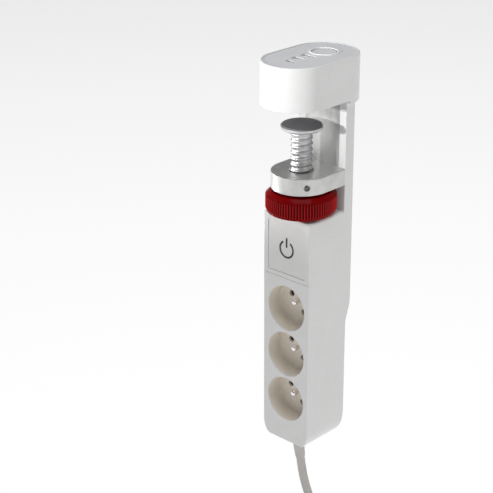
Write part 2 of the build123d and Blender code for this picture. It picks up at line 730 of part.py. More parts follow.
# Lower front cover, open over the three sockets.
lower_height = cover_seam - seam_gap / 2 - strip_bottom
lower_middle = strip_bottom + lower_height / 2
lip_height = lower_height - 2 * strip_wall - hollow_foot_radius - 0.2
with BuildPart() as lower_cover:
    with BuildSketch(Plane.XZ.offset(-cover_back)):
        add(strip_outline.sketch)
        with Locations((0, lower_middle)):
            Rectangle(body_width, lower_height, mode=Mode.INTERSECT)
        with Locations([(0, z) for z in socket_z]):
            Circle(well_radius, mode=Mode.SUBTRACT)
    extrude(amount=cover_thickness)
    front_edges = lower_cover.faces().sort_by(Axis.Y)[0].edges()
    rim_edges = front_edges.filter_by(lambda e: e.length > 1.9 * pi * well_radius)
    outer_edges = front_edges.filter_by(
        lambda e: e.length < 1.9 * pi * well_radius or e.geom_type == GeomType.LINE
    )
    outer_edges = outer_edges.filter_by(lambda e: e.center().Z < cover_seam - 1)
    fillet(outer_edges, 0.7)
    fillet(rim_edges, 0.45)
    with BuildSketch(Plane.XZ.offset(-cover_back)):
        with Locations((0, lower_middle + hollow_foot_radius / 2)):
            RectangleRounded(
                body_width - 2 * strip_wall - 0.2, lip_height, hollow_radius
            )
            RectangleRounded(
                body_width - 2 * strip_wall - 2.4,
                lip_height - 2.2,
                hollow_radius - 1.1,
                mode=Mode.SUBTRACT,
            )
    extrude(amount=-3.0)
    with BuildSketch(Plane.XZ.offset(-cover_back)):
        with Locations(boss_places):
            Circle(3.2)
    extrude(amount=-(boss_meet - 0.1 - cover_back))
    with BuildSketch(Plane.XZ.offset(-boss_meet + 0.1)):
        with Locations(boss_places):
            Circle(screw_radius + 0.05)
    extrude(amount=boss_meet - cover_back - 4.0, mode=Mode.SUBTRACT)
lower_cover.part.label = "lower_cover"
export_step(lower_cover.part, "parts/lower_cover.step")

# Screws from behind: four into the lower cover, four into the bracket's web.
with BuildPart() as cover_screws:
    with BuildSketch(Plane.XZ.offset(-strip_back + 0.6)):
        with Locations(boss_places):
            Circle(screw_head)
    extrude(amount=1.6)
    with BuildSketch(Plane.XZ.offset(-strip_back + 2.2)):
        with Locations(boss_places):
            Circle(screw_radius)
    extrude(amount=strip_back - 2.2 + 9.0)
    with BuildSketch(Plane.XZ.offset(-strip_back + 0.6)):
        with Locations(boss_places):
            Rectangle(3.4, 0.7)
            Rectangle(0.7, 3.4)
    extrude(amount=1.0, mode=Mode.SUBTRACT)
cover_screws.part.label = "cover_screws"
export_step(cover_screws.part, "parts/cover_screws.step")

with BuildPart() as spine_screws:
    with BuildSketch(Plane.XZ.offset(-spine_back + 0.6)):
        with Locations(spine_screws_at):
            Circle(screw_head)
    extrude(amount=1.6)
    with BuildSketch(Plane.XZ.offset(-spine_back + 2.2)):
        with Locations(spine_screws_at):
            Circle(screw_radius)
    extrude(amount=spine_back - 2.2 - desk_edge - 1.0)
    with BuildSketch(Plane.XZ.offset(-spine_back + 0.6)):
        with Locations(spine_screws_at):
            Rectangle(3.4, 0.7)
            Rectangle(0.7, 3.4)
    extrude(amount=1.0, mode=Mode.SUBTRACT)
spine_screws.part.label = "spine_screws"
export_step(spine_screws.part, "parts/spine_screws.step")

# Closed sleeve that keeps the lowered spindle away from the live parts.
guide_bottom = -137.0
with BuildPart() as spindle_guide:
    with BuildSketch(Plane.XY.offset(strip_top - strip_wall)):
        Circle(spindle_radius + 2.4)
    extrude(amount=guide_bottom - strip_top + strip_wall)
    with BuildSketch(Plane.XY.offset(strip_top - strip_wall)):
        Circle(spindle_radius + 3.2)
    extrude(amount=-1.6)
    with BuildSketch(Plane.XY.offset(strip_top - strip_wall)):
        Circle(spindle_radius + 0.8)
    extrude(amount=guide_bottom + 1.5 - strip_top + strip_wall, mode=Mode.SUBTRACT)
spindle_guide.part.label = "spindle_guide"
export_step(spindle_guide.part, "parts/spindle_guide.step")

# Three sockets, each a round well with its earth pin, and a sprung shutter behind the floor.
post_length = 3.3
shutter_front = floor_back + 0.3
for number, z in enumerate(socket_z, start=1):
    holes = [(-contact_offset, z + contact_offset), (contact_offset, z - contact_offset)]
    earth_place = (earth_offset, z + earth_offset)

    with BuildPart() as socket:
        with BuildSketch(Plane.XZ.offset(-cover_back)):
            with Locations((0, z)):
                Circle(well_radius + well_wall)
        extrude(amount=-(floor_back - cover_back))
        with BuildSketch(Plane.XZ.offset(-cover_back)):
            with Locations((0, z)):
                Circle(well_radius)
        extrude(amount=-(floor_front - cover_back), mode=Mode.SUBTRACT)
        floor_edges = socket.edges().filter_by(
            lambda e: abs(e.center().Y - floor_front) < 0.01
        )
        fillet(floor_edges, 0.8)
        with BuildSketch(Plane.XZ.offset(-floor_front)):
            with Locations(holes):
                Circle(contact_hole)
            with Locations(earth_place):
                Circle(earth_radius + 0.02)
        extrude(amount=-floor_thickness, mode=Mode.SUBTRACT)
        with BuildSketch(Plane.XZ.offset(-floor_back)):
            with Locations((0, z)):
                Circle(1.5)
        extrude(amount=-post_length)
    socket.part.label = f"socket_{number}"
    export_step(socket.part, f"parts/socket_{number}.step")

    with BuildPart() as earth_pin:
        with BuildSketch(Plane.XZ.offset(-(floor_front - earth_tip))):
            with Locations(earth_place):
                Circle(earth_radius)
        extrude(amount=-(earth_tip - floor_front + 16.8))
        fillet(earth_pin.faces().sort_by(Axis.Y)[0].edges(), 1.7)
    earth_pin.part.label = f"earth_pin_{number}"
    export_step(earth_pin.part, f"parts/earth_pin_{number}.step")

    with BuildPart() as shutter:
        with BuildSketch(Plane.XZ.offset(-shutter_front)):
            with Locations((0, z)):
                Circle(3.6)
                RectangleRounded(25.2, 6.2, 3.0, rotation=135)
                Circle(1.5 + running_gap, mode=Mode.SUBTRACT)
        extrude(amount=-2.0)
    shutter.part.label = f"shutter_{number}"
    export_step(shutter.part, f"parts/shutter_{number}.step")

# Brass bars behind the sockets: sleeves for the two contacts, and a strip for the earth pins.
bar_back = 14.2
bar_front = 4.5
bar_top = -152.0
bars = {
    "busbar_line": (-12.0, [(-contact_offset, z + contact_offset) for z in socket_z]),
    "busbar_neutral": (0.3, [(contact_offset, z - contact_offset) for z in socket_z]),
}
for name, (strip_x, sleeves) in bars.items():
    with BuildPart() as busbar:
        bar_bottom = sleeves[-1][1] - 4
        with BuildSketch(Plane.XZ.offset(-bar_back)):
            with Locations((strip_x, (bar_top + bar_bottom) / 2)):
                Rectangle(3.0, bar_top - bar_bottom)
            for x, z in sleeves:
                with Locations(((strip_x + x) / 2, z)):
                    Rectangle(abs(x - strip_x), 4.0)
        extrude(amount=0.8)
        with BuildSketch(Plane.XZ.offset(-bar_back)):
            with Locations(sleeves):
                Circle(sleeve_radius)
        extrude(amount=bar_back - bar_front)
        with BuildSketch(Plane.XZ.offset(-bar_back)):
            with Locations(sleeves):
                Circle(sleeve_bore)
        extrude(amount=bar_back - bar_front, mode=Mode.SUBTRACT)
    busbar.part.label = name
    export_step(busbar.part, f"parts/{name}.step")

earth_places = [(earth_offset, z + earth_offset) for z in socket_z]
with BuildPart() as busbar_earth:
    with BuildSketch(Plane.XZ.offset(-16.8)):
        with Locations((12.7, (bar_top + socket_z[-1]) / 2)):
            Rectangle(3.0, bar_top - socket_z[-1])
        for x, z in earth_places:
            with Locations(((12.7 + x) / 2, z)):
                Rectangle(12.7 - x, 4.0)
        with Locations(earth_places):
            Circle(3.8)
            Circle(earth_radius + 0.02, mode=Mode.SUBTRACT)
    extrude(amount=0.8)
busbar_earth.part.label = "busbar_earth"
export_step(busbar_earth.part, "parts/busbar_earth.step")

# Insulating tray behind the bars, on four posts from the back wall.
with BuildPart() as busbar_tray:
    with BuildSketch(Plane.XZ.offset(-18.6)):
        with Locations((0, -217.0)):
            RectangleRounded(28.8, 132, 2)
    extrude(amount=1.6)
    with BuildSketch(Plane.XZ.offset(-18.6)):
        with Locations([(x, z) for x in (-8, 8) for z in (-175, -275)]):
            Circle(2.6)
    extrude(amount=-(strip_back - strip_wall - 18.6))
busbar_tray.part.label = "busbar_tray"
export_step(busbar_tray.part, "parts/busbar_tray.step")

# Three wires up the spine, from the strip to the switch in the housing.
with BuildPart() as riser_wires:
    with BuildSketch(Plane.XY.offset(wire_bottom + 1)):
        with Locations([(x, sum(spine_channel) / 2) for x in (-4, 0, 4)]):
            Circle(1.1)
    extrude(amount=flange_bottom + 3 - wire_bottom - 1)
riser_wires.part.label = "riser_wires"
export_step(riser_wires.part, "parts/riser_wires.step")


# ================================================================ cord, plug and relief
# Inside end of the cord, and the block that clamps it.
with BuildPart() as cord_end:
    with BuildSketch(Plane.XY.offset(strip_bottom + strip_wall + 2.05)):
        with Locations(cord_exit[:2]):
            Circle(cord_diameter / 2)
    extrude(amount=12)
cord_end.part.label = "cord_end"
export_step(cord_end.part, "parts/cord_end.step")

with BuildPart() as cord_clamp:
    with BuildSketch(Plane.XY.offset(strip_bottom + 8.5)):
        with Locations(cord_exit[:2]):
            RectangleRounded(24, 13, 2)
            Circle(cord_diameter / 2, mode=Mode.SUBTRACT)
    extrude(amount=6)
cord_clamp.part.label = "cord_clamp"
export_step(cord_clamp.part, "parts/cord_clamp.step")

# Strain relief: a flange inside, a neck through the wall, and a tapered boot that leans
# backwards with the cord.
lean = Vector(0, cord_lean, -1).normalized()
boot_start = Vector(*cord_exit) + lean * 1.1
boot_end = boot_start + lean * relief_length
boot_radius = cord_diameter / 2 + 0.5
with BuildPart() as strain_relief:
    with BuildSketch(Plane.XY.offset(strip_bottom + strip_wall + 0.05)):
        with Locations(cord_exit[:2]):
            Circle(7.5)
    extrude(amount=2.0)
    with BuildSketch(Plane.XY.offset(strip_bottom + strip_wall + 0.05)):
        with Locations(cord_exit[:2]):
            Circle(neck_radius)
    extrude(amount=-(strip_wall + 2.6))
    with BuildSketch(Plane(origin=boot_start, z_dir=lean)):
        Circle(neck_radius + 0.4)
    with BuildSketch(Plane(origin=boot_end, z_dir=lean)):
        Circle(boot_radius)
    loft()
strain_relief.part.label = "strain_relief"
export_step(strain_relief.part, "parts/strain_relief.step")


# Free cord from the boot to the hank: it leans back, then hangs straight. Each corner of
# its route is rounded by an arc as large as the two runs beside it allow.
strand_pitch = cord_diameter + 0.2
lead_y = 13.0
lead_points = [
    boot_end,
    boot_end + lean * 19.0,
    Vector(1.2, 10.1, -357.5),
    Vector(waist_offset, lead_y, -371.0),
    Vector(waist_offset, lead_y, hank_top),
]
lead_radii = []
for before, here, after in zip(lead_points, lead_points[1:], lead_points[2:]):
    turn = (here - before).get_angle(after - here)
    shorter_run = min((here - before).length, (after - here).length)
    lead_radii.append(0.45 * shorter_run / tan(radians(turn / 2)))
with BuildPart() as cord_lead:
    with BuildLine():
        lead_path = FilletPolyline(*lead_points, radius=lead_radii)
    with BuildSketch(Plane(origin=boot_end, z_dir=lean)):
        Circle(cord_diameter / 2)
    sweep(path=lead_path)
cord_lead.part.label = "cord_lead"
export_step(cord_lead.part, "parts/cord_lead.step")
tube_volume = pi * (cord_diameter / 2) ** 2 * lead_path.length
print("cord lead: length", round(lead_path.length, 1), "mm, radii",
      [round(radius) for radius in lead_radii],
      "mm, volume over section times length", round(cord_lead.part.volume / tube_volume, 4))

# Hank: four long turns side by side, tied at the waist, as one closed solid.
hank_half = fold_centre + fold_radius + cord_diameter / 2 + 0.4
hank_middle = hank_top - hank_half
hank_bottom = hank_top - 2 * hank_half
lobe_radius = fold_radius + cord_diameter / 2 + 0.4
waist_half = waist_offset + cord_diameter / 2 + 0.2
hank_back = lead_y + cord_diameter / 2 + 0.3
hank_depth = hank_turns * strand_pitch + cord_diameter + 0.6
with BuildPart() as cord_hank:
    with BuildSketch(Plane.XZ.offset(-hank_back)):
        with Locations((0, hank_middle + fold_centre), (0, hank_middle - fold_centre)):
            Circle(lobe_radius)
        with BuildLine():
            Polyline(
                (-waist_half, hank_middle - 10),
                (-waist_half, hank_middle + 10),
                (-22, hank_middle + fold_centre - 18),
                (22, hank_middle + fold_centre - 18),
                (waist_half, hank_middle + 10),
                (waist_half, hank_middle - 10),
                (22, hank_middle - fold_centre + 18),
                (-22, hank_middle - fold_centre + 18),
                close=True,
            )
        make_face()
        for end_z in (hank_top - 3, hank_bottom + 3):
            with Locations((waist_offset, end_z)):
                Rectangle(cord_diameter + 2, 6)
    extrude(amount=hank_depth)
cord_hank.part.label = "cord_hank"
export_step(cord_hank.part, "parts/cord_hank.step")

# Hook-and-loop tie around the waist of the hank.
with BuildPart() as hank_tie:
    with BuildSketch(Plane.XY.offset(hank_middle - 8)):
        with Locations((0, hank_back - hank_depth / 2)):
            RectangleRounded(2 * waist_half + 3.6, hank_depth + 3.6, 5.0)
            Rectangle(2 * waist_half + 0.02, hank_depth + 0.02, mode=Mode.SUBTRACT)
    extrude(amount=16)
hank_tie.part.label = "hank_tie"
export_step(hank_tie.part, "parts/hank_tie.step")

# Last stretch of cord, pulled straight between the foot of the hank and the hanging plug.
plug_x = waist_offset
plug_y = lead_y - hank_turns * strand_pitch
plug_top = hank_bottom - 27.0
with BuildPart() as cord_tail:
    with BuildSketch(Plane.XY.offset(plug_top)):
        with Locations((plug_x, plug_y)):
            Circle(cord_diameter / 2)
    extrude(amount=hank_bottom - plug_top)
cord_tail.part.label = "cord_tail"
export_step(cord_tail.part, "parts/cord_tail.step")

# Mains plug: ribbed boot, waisted grip and round head, with two side recesses for the
# earth clips and a blind hole for an earth pin.
plug_axis = Axis((plug_x, plug_y, 0), (0, 0, 1))
plug_face = plug_top - 58.0
plug_radius = 18.6
with BuildPart() as plug_body:
    with BuildSketch(Plane.XZ.offset(-plug_y)):
        with BuildLine():
            Polyline(
                (plug_x, plug_top),
                (plug_x + 4.6, plug_top),
                (plug_x + 6.6, plug_top - 20),
                (plug_x + 11.0, plug_top - 24),
            )
            Bezier(
                (plug_x + 11.0, plug_top - 24),
                (plug_x + 14.0, plug_top - 30),
                (plug_x + 12.5, plug_top - 38),
                (plug_x + plug_radius, plug_top - 45),
            )
            Polyline(
                (plug_x + plug_radius, plug_top - 45),
                (plug_x + plug_radius, plug_face + 0.8),
                (plug_x + plug_radius - 0.8, plug_face),
                (plug_x, plug_face),
                (plug_x, plug_top),
            )
        make_face()
    revolve(axis=plug_axis)
    with BuildSketch(Plane.XY.offset(plug_face)):
        with Locations((plug_x, plug_y + plug_radius), (plug_x, plug_y - plug_radius)):
            Rectangle(6.4, 4.4)
        with Locations((plug_x, plug_y + 10)):
            Circle(2.7)
    extrude(amount=13.0, mode=Mode.SUBTRACT)
plug_body.part.label = "plug_body"
export_step(plug_body.part, "parts/plug_body.step")

with BuildPart() as plug_pins:
    with BuildSketch(Plane.XY.offset(plug_face)):
        with Locations((plug_x - 9.5, plug_y), (plug_x + 9.5, plug_y)):
            Circle(2.4)
    extrude(amount=-19.0)
    fillet(plug_pins.faces().sort_by(Axis.Z)[:2].edges(), 1.5)
plug_pins.part.label = "plug_pins"
export_step(plug_pins.part, "parts/plug_pins.step")

with BuildPart() as plug_earth_clips:
    with BuildSketch(Plane.XY.offset(plug_face + 0.4)):
        with Locations((plug_x, plug_y + plug_radius - 1.6), (plug_x, plug_y - plug_radius + 1.6)):
            Rectangle(4.4, 1.0)
    extrude(amount=12.6)
plug_earth_clips.part.label = "plug_earth_clips"
export_step(plug_earth_clips.part, "parts/plug_earth_clips.step")
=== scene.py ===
import json
from math import atan2, copysign, cos, pi, radians, sin, sqrt

import bmesh
import bpy
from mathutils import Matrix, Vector


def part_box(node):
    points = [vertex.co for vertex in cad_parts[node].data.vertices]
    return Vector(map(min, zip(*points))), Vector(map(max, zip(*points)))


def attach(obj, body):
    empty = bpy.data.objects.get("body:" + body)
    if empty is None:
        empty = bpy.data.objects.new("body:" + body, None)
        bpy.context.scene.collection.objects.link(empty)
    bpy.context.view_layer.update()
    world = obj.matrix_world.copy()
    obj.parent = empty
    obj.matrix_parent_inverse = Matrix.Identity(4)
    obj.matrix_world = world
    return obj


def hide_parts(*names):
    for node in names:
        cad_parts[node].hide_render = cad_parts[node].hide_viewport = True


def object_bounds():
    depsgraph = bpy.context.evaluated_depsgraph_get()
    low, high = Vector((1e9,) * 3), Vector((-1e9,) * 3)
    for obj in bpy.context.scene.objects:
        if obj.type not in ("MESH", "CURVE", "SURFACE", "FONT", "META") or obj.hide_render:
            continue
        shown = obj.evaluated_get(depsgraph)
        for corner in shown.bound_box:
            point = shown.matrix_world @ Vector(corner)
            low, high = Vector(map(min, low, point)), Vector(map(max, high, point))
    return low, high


# Looks of the desk power strip. Metres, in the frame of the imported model: +Z up, the user
# on the -Y side, the origin on the clamp spindle's axis in the plane of the desk top.

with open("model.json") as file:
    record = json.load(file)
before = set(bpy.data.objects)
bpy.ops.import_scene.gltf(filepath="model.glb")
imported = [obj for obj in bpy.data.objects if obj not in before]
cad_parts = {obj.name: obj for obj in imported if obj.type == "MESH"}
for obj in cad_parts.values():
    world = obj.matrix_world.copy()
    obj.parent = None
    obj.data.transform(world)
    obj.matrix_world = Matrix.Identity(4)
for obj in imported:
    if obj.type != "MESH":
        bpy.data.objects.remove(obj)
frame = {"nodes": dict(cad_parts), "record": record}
cad_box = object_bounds()
MM = 0.001
UP = Vector((0, 0, 1))

# camera: metres, degrees, and millimetres for its lens and sensor
CAMERA_PLACE = (0.71027, -0.81197, 0.33070)
CAMERA_AZIMUTH, CAMERA_PITCH, CAMERA_ROLL = 43.44, 22.86, 0.2
CAMERA_LENS, CAMERA_SENSOR = 104.31, 36.0
CAMERA_CLIP = (0.05, 20.0)

# studio
WORLD_STRENGTH = 0.26
SPOT_BLEND = 0.6             # share of a spot's cone that fades out
FLOOR_GAP = 0.012            # from the lowest point of the part down to the floor
FLOOR_REACH = 6.0
FLOOR_GLOW = 0.42            # keeps the floor pale without more light on the part

# finishes
NOISE_SPAN = (0.3, 0.7)      # most values of a noise texture lie in here
ROUGHNESS_SCALE = 0.35       # patches of roughness, against the features of the grain
COAT_ROUGHNESS = 0.1

# ribbed band of the hand wheel, with light and shade painted on its ribs
WHEEL_RIBS = 76
BAND_FROM_TOP, BAND_FROM_BOTTOM = 3.9 * MM, 2.5 * MM
RIB_PAINT_DEPTH = 1.6 * MM  # the painted highlight and painted shade of the ribs reach in this far from the rim
# painted shade for the grooves and painted highlight for the crests of the ribs
GROOVE_PAINTED_SHADE = (0.085, 0.0005, 0.001)
CREST_PAINTED_HIGHLIGHT = (0.50, 0.020, 0.024)
GROOVE_WAVE = 0.1            # a rib's wave runs from -1 to 1, and gets painted groove shade below this


def add_object(name, data):
    thing = bpy.data.objects.new(name, data)
    bpy.context.collection.objects.link(thing)
    return thing


# ================================================================ camera, light, floor
def make_camera():
    data = bpy.data.cameras.new("camera")
    data.sensor_width = CAMERA_SENSOR
    data.lens = CAMERA_LENS
    data.clip_start, data.clip_end = CAMERA_CLIP
    camera = add_object("camera", data)
    camera.location = CAMERA_PLACE
    camera.rotation_euler = (radians(90 - CAMERA_PITCH), radians(CAMERA_ROLL), radians(CAMERA_AZIMUTH))
    bpy.context.scene.camera = camera


def place_light(name, data, place, target):
    light = add_object(name, data)
    light.location = place
    direction = Vector(target) - Vector(place)
    light.rotation_euler = direction.to_track_quat("-Z", "Y").to_euler()


def area_light(name, place, target, size, power):
    """A square light; size is the length of its side."""
    data = bpy.data.lights.new(name, "AREA")
    data.size = size
    data.energy = power
    place_light(name, data, place, target)


def spot_light(name, place, target, cone, power, radius):
    """A round light; its cone is in degrees."""
    data = bpy.data.lights.new(name, "SPOT")
    data.spot_size = radians(cone)
    data.spot_blend = SPOT_BLEND
    data.energy = power
    data.shadow_soft_size = radius
    place_light(name, data, place, target)


def make_studio():
    scene = bpy.context.scene
    scene.view_settings.view_transform = "Standard"
    world = bpy.data.worlds.new("studio")
    world.use_nodes = True
    background = world.node_tree.nodes["Background"]
    background.inputs["Color"].default_value = (1, 1, 1, 1)
    background.inputs["Strength"].default_value = WORLD_STRENGTH
    scene.world = world
    area_light("top_light", (0.3, -0.3, 4.0), (0, 0, -0.1), size=3.0, power=90.0)
    area_light("right_light", (2.0, -0.2, 0.4), (0, 0, -0.2), size=1.2, power=3.2)
    # narrow spots from the left, on the housing, on the arm's nose and, from below, on the wheel
    spot_light("housing_light", (-0.42, -1.54, 0.25), (0, -0.01, 0.022),
               cone=5.4, power=90.0, radius=0.05)
    spot_light("window_light", (-1.45, -0.68, 0.20), (0, -0.005, -0.062),
               cone=3.3, power=85.0, radius=0.03)
    spot_light("glint_light", (-1.02, -0.42, -0.55), (0, -0.01, -0.084),
               cone=2.2, power=20.0, radius=0.02)


def floor_material():
    material, shader = new_material("floor_white")
    shader.inputs["Base Color"].default_value = (0.95, 0.95, 0.95, 1)
    shader.inputs["Roughness"].default_value = 0.8
    shader.inputs["Emission Color"].default_value = (1, 1, 1, 1)
    shader.inputs["Emission Strength"].default_value = FLOOR_GLOW
    return material


def make_floor():
    floor_z = cad_box[0].z - FLOOR_GAP
    corners = [(x * FLOOR_REACH, y * FLOOR_REACH, floor_z)
               for x, y in ((-1, -1), (1, -1), (1, 1), (-1, 1))]
    mesh = bpy.data.meshes.new("floor")
    mesh.from_pydata(corners, [], [(0, 1, 2, 3)])
    mesh.materials.append(floor_material())
    floor = add_object("floor", mesh)


# ================================================================ materials
def new_material(name):
    """A material with nodes, and its shader."""
    material = bpy.data.materials.new(name)
    material.use_nodes = True
    return material, material.node_tree.nodes["Principled BSDF"]


def feed(tree, socket, value):
    """Links a socket to another node's output, or sets it to a colour or a number."""
    if isinstance(value, bpy.types.NodeSocket):
        tree.links.new(value, socket)
    elif isinstance(value, tuple):
        socket.default_value = (*value, 1)
    else:
        socket.default_value = value


def mix_colours(tree, factor, first, second):
    mix = tree.nodes.new("ShaderNodeMix")
    mix.data_type = "RGBA"
    feed(tree, mix.inputs["Factor"], factor)
    feed(tree, mix.inputs["A"], first)
    feed(tree, mix.inputs["B"], second)
    return mix.outputs["Result"]


def noise(tree, scale, detail, stretch=(1, 1, 1)):
    """A noise texture in object space; scale is in features per metre."""
    place = tree.nodes.new("ShaderNodeTexCoord")
    mapping = tree.nodes.new("ShaderNodeMapping")
    mapping.inputs["Scale"].default_value = stretch
    texture = tree.nodes.new("ShaderNodeTexNoise")
    texture.inputs["Scale"].default_value = scale
    texture.inputs["Detail"].default_value = detail
    tree.links.new(place.outputs["Object"], mapping.inputs["Vector"])
    tree.links.new(mapping.outputs["Vector"], texture.inputs["Vector"])
    return texture.outputs["Fac"]


def to_range(tree, value, low, high):
    """A noise texture's values, stretched to run from low to high."""
    node = tree.nodes.new("ShaderNodeMapRange")
    node.inputs["From Min"].default_value, node.inputs["From Max"].default_value = NOISE_SPAN
    node.inputs["To Min"].default_value = low
    node.inputs["To Max"].default_value = high
    tree.links.new(value, node.inputs["Value"])
    return node.outputs["Result"]


def bump(tree, height, distance, strength):
    node = tree.nodes.new("ShaderNodeBump")
    node.inputs["Distance"].default_value = distance
    node.inputs["Strength"].default_value = strength
    tree.links.new(height, node.inputs["Height"])
    return node.outputs["Normal"]


def surface(name, colour, worn, roughness, grain, metallic=0.0, coat=0.0, specular=0.5,
            sheen=0.0, stretch=(1, 1, 1), drift=45.0):
    """A procedural finish. Its base colour drifts between colour and worn, with drift features
    per metre, and its roughness between two values. Grain is (features per metre, depth in
    metres, strength); stretch below 1 draws grain and roughness out along that axis."""
    material, shader = new_material(name)
    tree = material.node_tree
    features, depth, strength = grain
    clouds = to_range(tree, noise(tree, drift, 4.0), 0, 1)
    patches = noise(tree, features * ROUGHNESS_SCALE, 4.0, stretch)
    texture = noise(tree, features, 2.0, stretch)
    feed(tree, shader.inputs["Base Color"], mix_colours(tree, clouds, colour, worn))
    feed(tree, shader.inputs["Roughness"], to_range(tree, patches, *roughness))
    feed(tree, shader.inputs["Normal"], bump(tree, texture, depth, strength))
    shader.inputs["Metallic"].default_value = metallic
    shader.inputs["Coat Weight"].default_value = coat
    shader.inputs["Coat Roughness"].default_value = COAT_ROUGHNESS
    shader.inputs["Specular IOR Level"].default_value = specular
    shader.inputs["Sheen Weight"].default_value = sheen
    return material


WHEEL_REDS = dict(colour=(0.22, 0.001, 0.002), worn=(0.19, 0.001, 0.002))

FINISHES = {
    # plastics of the housing and the strip
    "white_shell": dict(colour=(0.80, 0.80, 0.795), worn=(0.77, 0.77, 0.765),
                        roughness=(0.26, 0.34), grain=(2600, 0.04 * MM, 0.25), specular=0.45),
    "ring_white": dict(colour=(0.90, 0.90, 0.91), worn=(0.86, 0.86, 0.87),
                       roughness=(0.14, 0.22), grain=(1800, 0.02 * MM, 0.2), coat=0.3),
    "panel_grey": dict(colour=(0.68, 0.69, 0.71), worn=(0.64, 0.65, 0.67),
                       roughness=(0.42, 0.55), grain=(5200, 0.08 * MM, 0.5)),
    "label_white": dict(colour=(0.78, 0.78, 0.76), worn=(0.75, 0.75, 0.73),
                        roughness=(0.34, 0.42), grain=(3500, 0.03 * MM, 0.3)),
    "well_grey": dict(colour=(0.84, 0.78, 0.70), worn=(0.78, 0.72, 0.64),
                      roughness=(0.40, 0.52), grain=(3800, 0.06 * MM, 0.4), drift=70.0),
    "shutter_dark": dict(colour=(0.035, 0.035, 0.035), worn=(0.025, 0.025, 0.025),
                         roughness=(0.5, 0.6), grain=(2600, 0.04 * MM, 0.3)),
    "inner_white": dict(colour=(0.74, 0.74, 0.71), worn=(0.68, 0.68, 0.65),
                        roughness=(0.42, 0.52), grain=(2600, 0.05 * MM, 0.4)),
    "sign_black": dict(colour=(0.020, 0.020, 0.022), worn=(0.03, 0.03, 0.03),
                       roughness=(0.38, 0.48), grain=(3500, 0.03 * MM, 0.3)),
    "lamp_clear": dict(colour=(0.70, 0.80, 0.74), worn=(0.62, 0.74, 0.68),
                       roughness=(0.10, 0.18), grain=(1800, 0.02 * MM, 0.2), coat=0.5),
    "tongue_white": dict(colour=(0.90, 0.90, 0.90), worn=(0.86, 0.86, 0.86),
                         roughness=(0.25, 0.35), grain=(2600, 0.03 * MM, 0.2)),
    # wheel, washers and pads
    "wheel_red": dict(**WHEEL_REDS, roughness=(0.16, 0.22), grain=(1500, 0.01 * MM, 0.15),
                      specular=0.06),
    "wheel_ribs": dict(**WHEEL_REDS, roughness=(0.09, 0.13), grain=(1500, 0.01 * MM, 0.10),
                       specular=0.05),
    "washer_nylon": dict(colour=(0.05, 0.05, 0.05), worn=(0.035, 0.035, 0.035),
                         roughness=(0.45, 0.55), grain=(2600, 0.05 * MM, 0.4)),
    "pad_rubber": dict(colour=(0.24, 0.24, 0.25), worn=(0.19, 0.19, 0.20),
                       roughness=(0.62, 0.75), grain=(3200, 0.12 * MM, 0.6)),
    # metals
    "cast_metal": dict(colour=(0.66, 0.66, 0.65), worn=(0.55, 0.55, 0.54),
                       roughness=(0.30, 0.46), grain=(900, 0.03 * MM, 0.35), metallic=0.85,
                       stretch=(1, 1, 0.06), drift=90.0),
    "steel_bright": dict(colour=(0.66, 0.66, 0.67), worn=(0.56, 0.56, 0.57),
                         roughness=(0.34, 0.46), grain=(1500, 0.03 * MM, 0.3), metallic=1.0),
    "nickel": dict(colour=(0.92, 0.91, 0.89), worn=(0.86, 0.85, 0.83),
                   roughness=(0.18, 0.26), grain=(1500, 0.02 * MM, 0.2), metallic=1.0),
    "brass_bare": dict(colour=(0.72, 0.52, 0.22), worn=(0.62, 0.43, 0.17),
                       roughness=(0.25, 0.40), grain=(900, 0.03 * MM, 0.3), metallic=1.0,
                       stretch=(1, 1, 0.1)),
    # electronics
    "board_green": dict(colour=(0.02, 0.20, 0.07), worn=(0.015, 0.15, 0.05),
                        roughness=(0.22, 0.34), grain=(1200, 0.04 * MM, 0.3), coat=0.4),
    "part_black": dict(colour=(0.030, 0.030, 0.032), worn=(0.02, 0.02, 0.022),
                       roughness=(0.40, 0.52), grain=(2600, 0.04 * MM, 0.4)),
    "wire_sleeve": dict(colour=(0.10, 0.12, 0.45), worn=(0.08, 0.09, 0.36),
                        roughness=(0.35, 0.45), grain=(2600, 0.04 * MM, 0.3)),
    # cord, and the black loop tape with its fuzzy sheen
    "cord_grey": dict(colour=(0.55, 0.53, 0.505), worn=(0.51, 0.49, 0.465),
                      roughness=(0.40, 0.52), grain=(2200, 0.06 * MM, 0.4), sheen=0.05),
    "tie_fabric": dict(colour=(0.035, 0.035, 0.038), worn=(0.055, 0.055, 0.058),
                       roughness=(0.80, 0.92), grain=(2400, 0.4 * MM, 0.8), sheen=0.5),
}


